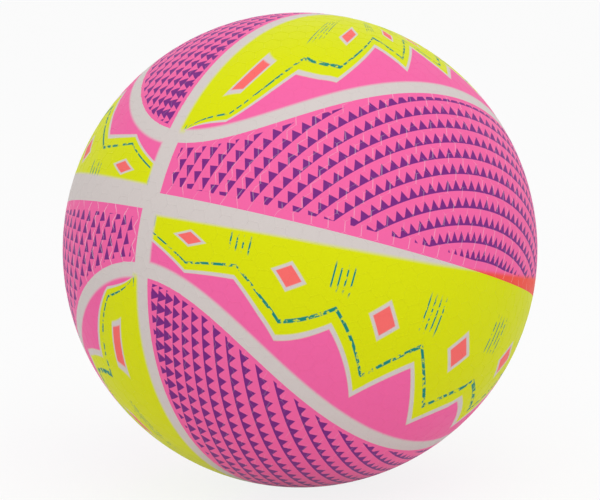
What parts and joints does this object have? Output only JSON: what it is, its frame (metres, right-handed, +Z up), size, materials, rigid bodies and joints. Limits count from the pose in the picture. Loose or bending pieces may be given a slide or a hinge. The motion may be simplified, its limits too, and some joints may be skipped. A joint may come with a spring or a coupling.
{
  "type": "inflatable ball",
  "caption": "Round inflatable rubber play ball with pink and yellow printed panels, white bands, a fine honeycomb grip relief and a needle valve.",
  "frame": {"origin": "centre of the ball", "axes": "+Z up from the flat it rests on, -Y to the side of the front crossing of the white bands, +X level, square to the plane of the upright band"},
  "size_m": [0.22, 0.22, 0.2198],
  "materials": {
    "white_rubber": "satin moulded rubber",
    "pink_print": "satin printed rubber",
    "yellow_print": "satin printed rubber",
    "winding_thread": "rubber-coated thread",
    "bladder_rubber": "smooth rubber",
    "valve_rubber": "smooth rubber"
  },
  "bodies": {
    "ball": {"cover": "white_rubber", "panel_upper_right": "pink_print", "panel_upper_left": "yellow_print", "panel_lower_right": "yellow_print", "panel_lower_left": "pink_print", "panel_top_right": "yellow_print", "panel_top_left": "pink_print", "panel_bottom_right": "pink_print", "panel_bottom_left": "yellow_print", "winding": "winding_thread", "bladder": "bladder_rubber", "valve_body": "valve_rubber"},
    "core": {"valve_core": "valve_rubber"}
  },
  "joints": [
    {"name": "core_pull", "type": "slide", "parent": "ball", "child": "core", "axis": [0, 0.9336, -0.3584], "range_m": [0, 0.025]}
  ]
}
